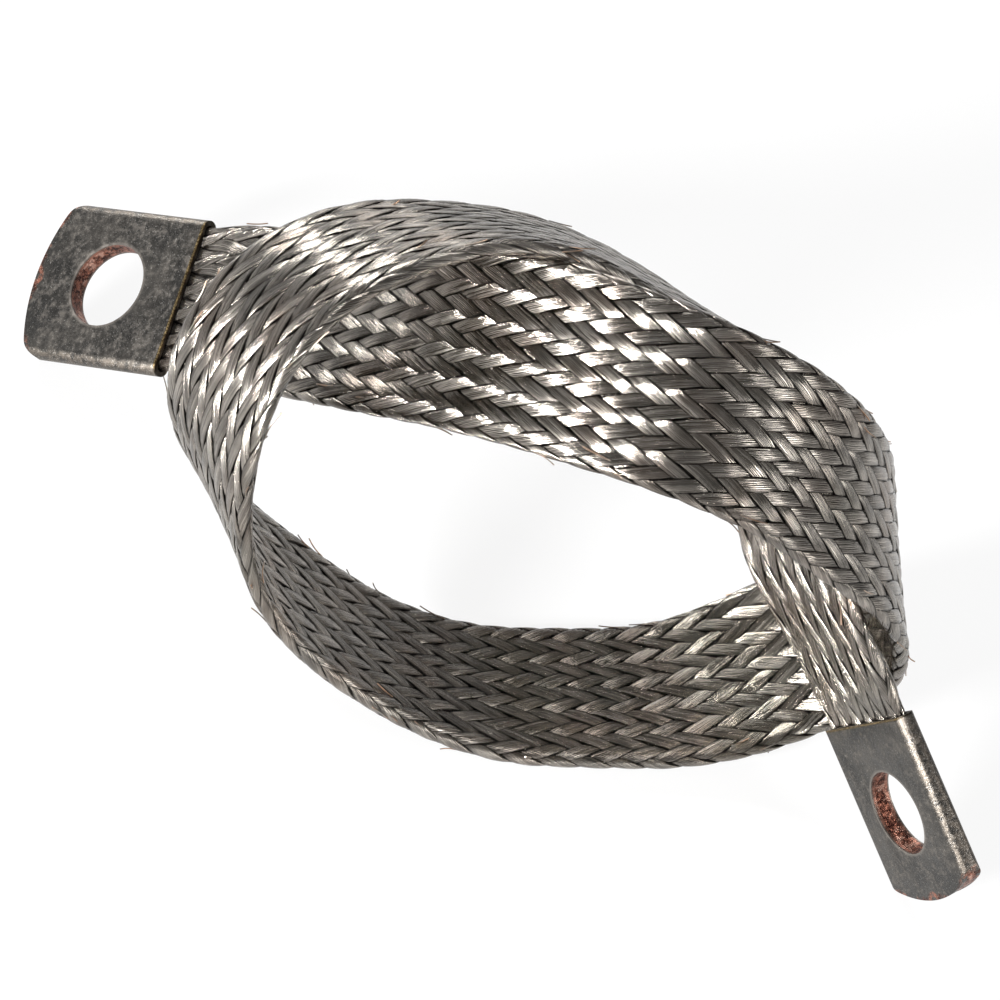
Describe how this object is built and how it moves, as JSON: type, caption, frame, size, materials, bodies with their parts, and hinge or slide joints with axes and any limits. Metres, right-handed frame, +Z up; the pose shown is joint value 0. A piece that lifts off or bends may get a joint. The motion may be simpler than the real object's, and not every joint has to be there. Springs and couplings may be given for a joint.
{
  "type": "flexible busbar braid",
  "caption": "Flat tinned copper braid with a pressed ferrule on each end, drilled to bolt between busbars; it lies in a loose overhand knot.",
  "frame": {"origin": "middle of the bounding box, on the surface the knotted braid lies on", "axes": "+Z up as it lies; Y along the longest side of the knot, from the right ferrule to the left one; both bolt holes look roughly along X"},
  "size_m": [0.0912, 0.1093, 0.0647],
  "materials": {
    "tinned_braid": "fine tinned copper wires, warm grey, bright where they turn",
    "tinned_ferrule": "dull tinned copper tube, mottled grey, worn bright along its sides"
  },
  "bodies": {
    "root": {"braid": "tinned_braid", "left_ferrule": "tinned_ferrule", "right_ferrule": "tinned_ferrule"}
  },
  "joints": []
}
